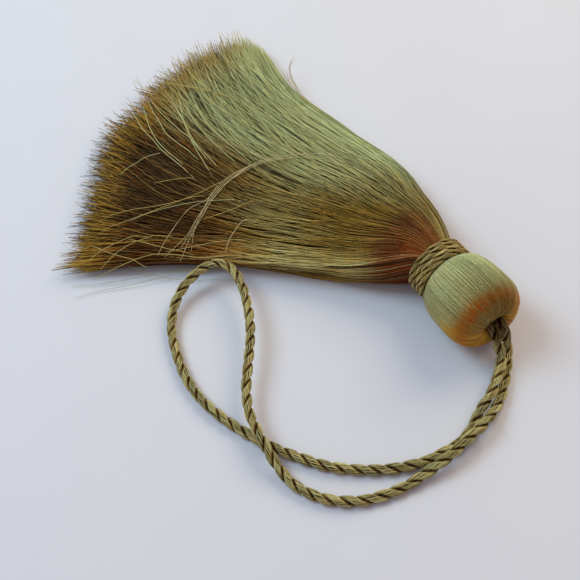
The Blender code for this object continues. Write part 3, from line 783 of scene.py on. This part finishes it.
# single threads that have come loose, each by the points that it passes
strays = {
    "bigArc": [(-46.7, 20.1, 7.6), (-52.3, 17.5, 8.2), (-58.3, 13.3, 8.2), (-63.1, 8.2, 8.0),
        (-65.5, 4.4, 7.6), (-67.5, 0.2, 7.0), (-68.0, -4.7, 6.6), (-66.6, -10.2, 6.2),
        (-65.2, -14.8, 5.8), (-64.8, -18.3, 5.2), (-64.1, -21.8, 4.8)],
    "arcSplitA": [(-47.4, 18.9, 7.6), (-56.4, 14.8, 8.0), (-63.0, 8.1, 7.8), (-66.3, 3.3, 7.0),
        (-67.5, -2.2, 6.8), (-67.7, -8.1, 6.4), (-69.6, -11.9, 6.0), (-69.9, -16.3, 5.0),
        (-68.8, -21.9, 4.8), (-67.6, -26.5, 4.4)],
    "arcSplitB": [(-45.9, 19.0, 7.6), (-56.0, 14.2, 8.0), (-62.9, 7.9, 7.6), (-65.4, 2.3, 7.4),
        (-66.9, -2.9, 7.0), (-66.7, -8.4, 6.6), (-65.9, -14.0, 6.0), (-65.4, -17.8, 5.0),
        (-65.5, -22.0, 4.8), (-66.0, -25.9, 4.2)],
    "arcSplitC": [(-63.6, 8.7, 7.6), (-65.9, 2.9, 7.2), (-66.8, -3.1, 6.6), (-66.5, -9.2, 6.0),
        (-65.3, -14.5, 5.4), (-64.2, -18.4, 5.0), (-63.1, -21.6, 4.6), (-62.0, -24.7, 4.2)],
    "arcSplitD": [(-65.4, 4.2, 7.4), (-66.5, -1.8, 7.0), (-66.3, -7.9, 6.4),
        (-65.2, -13.3, 5.8), (-64.5, -16.6, 5.2), (-62.7, -19.4, 4.8), (-61.6, -21.2, 4.4)],
    "hook": [(-54.1, -7.8, 7.4), (-55.1, -8.4, 7.4), (-55.6, -9.7, 7.2), (-55.4, -11.8, 7.0),
        (-55.1, -14.1, 6.6), (-54.6, -16.0, 6.0), (-54.0, -17.5, 5.4)],
    "short": [(-88.2, -2.3, 6.2), (-89.5, -3.9, 6.2), (-90.5, -5.8, 6.2), (-91.2, -8.0, 6.0),
        (-92.0, -10.3, 5.8), (-92.4, -12.9, 5.4)],
    "brown": [(-80.4, 23.6, 5.4), (-84.9, 23.3, 5.6), (-90.1, 22.9, 5.8), (-95.4, 21.8, 6.0),
        (-101.3, 20.1, 5.6), (-107.0, 18.1, 5.2)],
    "brownB": [(-86.2, 24.0, 5.4), (-89.1, 23.4, 5.6), (-93.9, 22.0, 5.8), (-98.0, 20.6, 6.0),
        (-102.8, 19.7, 5.6), (-106.8, 19.2, 5.2)],
    "longOut": [(-47.5, -12.1, 4.5), (-53.7, -18.6, 3.0), (-59.2, -23.3, 1.6),
        (-62.2, -26.0, 1.2), (-68.1, -33.1, 0.9), (-74.8, -39.9, 0.5), (-78.4, -44.7, 0.4)],
    "longOutB": [(-49.3, -12.5, 4.5), (-55.7, -19.9, 2.6), (-63.9, -27.0, 1.4),
        (-70.8, -33.6, 1.0), (-76.2, -38.5, 0.6), (-81.6, -42.6, 0.4)],
    "curlOut": [(-74.7, -32.3, 3.0), (-71.2, -31.3, 2.4), (-67.4, -30.1, 1.6),
        (-63.8, -28.6, 1.0), (-59.6, -26.3, 0.7), (-55.4, -23.3, 0.5), (-50.9, -20.0, 0.4)],
    "crossA": [(-68.8, -2.0, 7.2), (-73.1, -0.4, 7.2), (-78.1, 1.9, 7.0), (-83.2, 4.7, 6.8),
        (-87.4, 7.4, 6.6), (-91.6, 10.2, 6.4), (-96.4, 13.0, 6.0), (-100.7, 15.7, 5.4)],
    "crossB": [(-73.6, 2.1, 7.2), (-78.9, 3.2, 7.2), (-84.0, 5.2, 7.0), (-89.1, 8.6, 6.8),
        (-93.8, 12.3, 6.4), (-97.7, 16.1, 5.8)],
    "crossC": [(-67.6, 1.5, 7.2), (-73.2, 2.0, 7.2), (-79.5, 3.9, 7.0), (-84.2, 5.8, 6.8),
        (-88.6, 8.4, 6.6), (-94.2, 11.5, 6.2), (-99.7, 14.2, 5.6)],
    "crossD": [(-75.8, 1.5, 6.8), (-84.5, 2.2, 6.8), (-90.9, 3.5, 6.6), (-96.1, 6.1, 6.4),
        (-100.9, 8.5, 6.0), (-105.0, 11.2, 5.4)],
    "crossE": [(-72.5, -3.9, 6.8), (-80.1, -3.1, 6.8), (-87.7, -1.6, 6.6), (-93.6, 0.4, 6.4),
        (-98.4, 1.9, 6.2), (-102.7, 4.1, 5.8), (-106.5, 5.6, 5.2)],
    "crossF": [(-77.7, -1.7, 6.8), (-84.1, -1.6, 6.8), (-90.5, -0.0, 6.6), (-96.4, 2.9, 6.4),
        (-100.7, 5.9, 6.0), (-104.3, 8.5, 5.4)],
    "crossG": [(-68.1, 6.0, 7.2), (-74.5, 6.3, 7.2), (-81.2, 8.2, 7.0), (-86.4, 10.3, 6.8),
        (-91.0, 12.7, 6.4), (-95.3, 15.8, 5.8)],
    "crossH": [(-62.2, 7.0, 7.4), (-69.7, 7.9, 7.4), (-75.9, 9.2, 7.2), (-81.9, 11.1, 7.0),
        (-87.0, 13.4, 6.8), (-91.9, 16.1, 6.4), (-96.9, 19.3, 5.8)],
    "crossI": [(-78.1, 3.8, 6.8), (-83.0, 5.2, 6.8), (-88.9, 6.4, 6.6), (-95.7, 8.1, 6.4),
        (-100.8, 9.9, 6.0), (-105.1, 12.1, 5.4)],
    "lowA": [(-65.6, 5.3, 7.4), (-67.6, -0.8, 7.2), (-70.0, -7.1, 7.0), (-73.3, -12.7, 6.6),
        (-76.9, -18.3, 6.2), (-80.2, -23.4, 5.8), (-82.8, -27.2, 5.4), (-83.8, -29.8, 4.8)],
    "lowB": [(-67.4, -4.1, 7.2), (-71.0, -9.7, 7.0), (-74.2, -13.8, 6.8), (-77.7, -17.3, 6.6),
        (-81.5, -20.5, 6.2), (-84.5, -23.9, 5.8), (-86.1, -26.9, 5.2)],
    "lowC": [(-68.3, -19.8, 6.6), (-71.2, -23.6, 6.4), (-73.6, -27.1, 6.2),
        (-75.1, -30.2, 5.8), (-75.9, -33.3, 5.2), (-76.5, -36.8, 4.0)],
    "lowD": [(-72.5, -22.9, 6.6), (-75.7, -27.2, 6.4), (-78.0, -31.2, 6.0),
        (-79.4, -34.0, 5.4), (-80.3, -36.8, 4.6)],
    "lowE": [(-60.1, -21.0, 6.0), (-64.0, -23.7, 6.2), (-68.3, -25.1, 6.2),
        (-72.2, -26.2, 6.2), (-75.8, -27.3, 6.0)],
    "lowF": [(-72.6, -3.8, 7.0), (-76.0, -5.5, 7.0), (-79.1, -8.0, 6.8), (-82.3, -10.8, 6.4)],
    "lowG": [(-48.6, -10.4, 6.8), (-54.4, -14.3, 6.6), (-59.0, -18.3, 6.2),
        (-62.5, -21.6, 5.8), (-65.9, -24.9, 5.4)],
    "lowH": [(-56.2, -0.5, 7.6), (-58.8, -5.7, 7.4), (-61.2, -9.6, 7.2), (-64.1, -13.3, 6.8)],
    "lowI": [(-68.4, -29.7, 5.0), (-72.3, -31.2, 5.4), (-76.0, -32.4, 5.6),
        (-79.7, -33.0, 5.6), (-82.1, -33.3, 5.4)],
    "lowJ": [(-48.1, -15.0, 5.0), (-52.4, -17.0, 5.6), (-57.2, -21.1, 5.2),
        (-63.1, -23.9, 5.2), (-67.4, -26.2, 5.0), (-70.5, -29.2, 4.6), (-73.6, -33.2, 3.6),
        (-75.9, -36.6, 2.6), (-77.8, -39.1, 1.6)],
    "greenLow": [(-56.0, -0.9, 7.4), (-63.4, -5.9, 7.0), (-69.2, -10.0, 6.6),
        (-73.8, -14.4, 6.2), (-77.8, -19.0, 5.6), (-80.2, -22.4, 4.8)],
    "tipHairA": [(-93.5, 36.0, 4.0), (-99.5, 39.9, 4.2), (-104.0, 42.5, 4.0),
        (-108.1, 45.0, 3.4)],
    "tipHairB": [(-99.1, 29.0, 4.5), (-103.7, 30.9, 4.6), (-108.0, 32.4, 4.2),
        (-111.8, 33.9, 3.6)],
    "tipHairC": [(-103.3, 20.4, 4.8), (-106.1, 21.1, 4.8), (-109.3, 22.1, 4.4),
        (-112.6, 23.0, 4.0)],
    "tipHairD": [(-105.8, 13.4, 4.8), (-108.8, 14.3, 4.8), (-112.8, 15.5, 4.2),
        (-115.8, 16.3, 4.0)],
    "tipHairE": [(-88.6, 38.0, 4.6), (-93.1, 40.9, 4.4), (-96.9, 42.9, 4.2),
        (-100.7, 44.7, 3.8)],
    "tipHairF": [(-85.2, 37.2, 4.6), (-90.4, 41.1, 4.4), (-94.7, 43.7, 4.2),
        (-98.4, 45.6, 3.8)],
    "farWispA": [(-67.2, 33.1, 5.0), (-72.9, 35.8, 5.0), (-78.0, 39.4, 4.8),
        (-81.2, 42.8, 4.4), (-83.1, 47.0, 4.0)],
    "farWispB": [(-66.3, 32.7, 5.0), (-72.2, 35.4, 5.0), (-77.7, 38.7, 4.8),
        (-81.2, 42.3, 4.4), (-82.8, 45.2, 4.0)],
    "farWispC": [(-68.8, 33.0, 5.0), (-74.0, 36.0, 5.0), (-78.5, 39.2, 4.8),
        (-81.2, 42.8, 4.4), (-81.9, 46.3, 4.0)],
    "farWispD": [(-69.7, 33.3, 5.0), (-74.6, 35.9, 4.8), (-79.0, 38.1, 4.6),
        (-82.4, 40.6, 4.4)],
    "farWispE": [(-67.8, 33.1, 5.0), (-72.8, 35.2, 4.8), (-77.2, 37.4, 4.6),
        (-81.2, 40.9, 4.4)],
}

# which of them are pale, brown, hair-thin or diving, by the starts of their names
strayLook = {
    "radius": 0.085, "hairRadius": 0.065, "steps": 48, "dive": 2.0,
    "pale": ("bigArc", "arcSplit", "hook"), "brown": ("brown", "low", "farWisp"),
    "hair": ("longOut", "tipHair", "curl", "farWisp"), "diving": ("cross", "low", "green"),
}


def makeStrays(look):
    kinds = {kind: np.array([[float(name.startswith(look[kind]))] for name in strays])
             for kind in ("pale", "brown", "hair", "diving")}
    lines = np.array([throughPoints(spots, look["steps"]) for spots in strays.values()])
    share = np.linspace(0.0, 1.0, look["steps"])
    # their starts dive under the threads that they come from
    lines[..., 2] -= look["dive"] * kinds["diving"] * (1.0 - smoothStep(0.0, 0.25, share))
    radii = look["radius"] + (look["hairRadius"] - look["radius"]) * kinds["hair"]
    radii = radii * (1.0 - 0.4 * smoothStep(0.8, 1.0, share))
    values = {"tone": 0.85 - 0.35 * kinds["hair"], "warm": 0.1 + 0.5 * kinds["brown"],
              "pale": 0.6 * kinds["pale"]}
    piece = makeTubes("looseThreads", lines, radii, silk, 4, values)
    print("loose threads:", len(lines))


makeStrays(strayLook)


# floor and light
setLook = {
    "floor": (0.72, 0.712, 0.765), "world": (1.0, 0.91, 0.94), "worldPower": 0.40,
    "aim": (-0.045, 0.0, 0.005), "away": 0.65,
    "key": {"way": (-0.60, -0.20, 0.75), "colour": (0.60, 0.85, 1.0), "power": 2.3, "size": 0.34},
    "fill": {"way": (0.10, 0.70, 0.60), "colour": (1.0, 0.88, 0.62), "power": 2.15, "size": 0.38},
}


def makeLight(name, look):
    lamp = bpy.data.lights.new(name, "AREA")
    lamp.energy = look["power"]
    lamp.color = look["colour"]
    lamp.size = look["size"]
    item = bpy.data.objects.new(name, lamp)
    way = Vector(look["way"]).normalized()
    item.location = Vector(setLook["aim"]) + way * setLook["away"]
    item.rotation_euler = way.to_track_quat("Z", "Y").to_euler()
    bpy.context.collection.objects.link(item)


def makeFloor():
    material = bpy.data.materials.new("paleFloor")
    material.use_nodes = True
    shader = material.node_tree.nodes["Principled BSDF"]
    start = Link(material.node_tree)
    place = start.node("ShaderNodeTexCoord", take=3)
    grain = start.node("ShaderNodeTexNoise", {}, {"Vector": place, "Scale": 40.0, "Detail": 4.0})
    floor = setLook["floor"]
    colour = grain.blend(tuple(0.98 * part for part in floor), tuple(1.02 * part for part in floor))
    material.node_tree.links.new(colour.socket, shader.inputs["Base Color"])
    shader.inputs["Roughness"].default_value = 0.85
    shader.inputs["Specular IOR Level"].default_value = 0.15
    mesh = bpy.data.meshes.new("floor")
    mesh.from_pydata([(-3, -3, 0), (3, -3, 0), (3, 3, 0), (-3, 3, 0)], [], [(0, 1, 2, 3)])
    mesh.materials.append(material)
    floorPiece = bpy.data.objects.new("floor", mesh)
    bpy.context.collection.objects.link(floorPiece)


def makeWorld():
    world = bpy.data.worlds.new("softSky")
    world.use_nodes = True
    sky = world.node_tree.nodes["Background"]
    sky.inputs["Color"].default_value = (*setLook["world"], 1.0)
    sky.inputs["Strength"].default_value = setLook["worldPower"]
    bpy.context.scene.world = world


makeFloor()
makeWorld()
makeLight("keyLight", setLook["key"])
makeLight("warmFill", setLook["fill"])
print("floor and light are set")
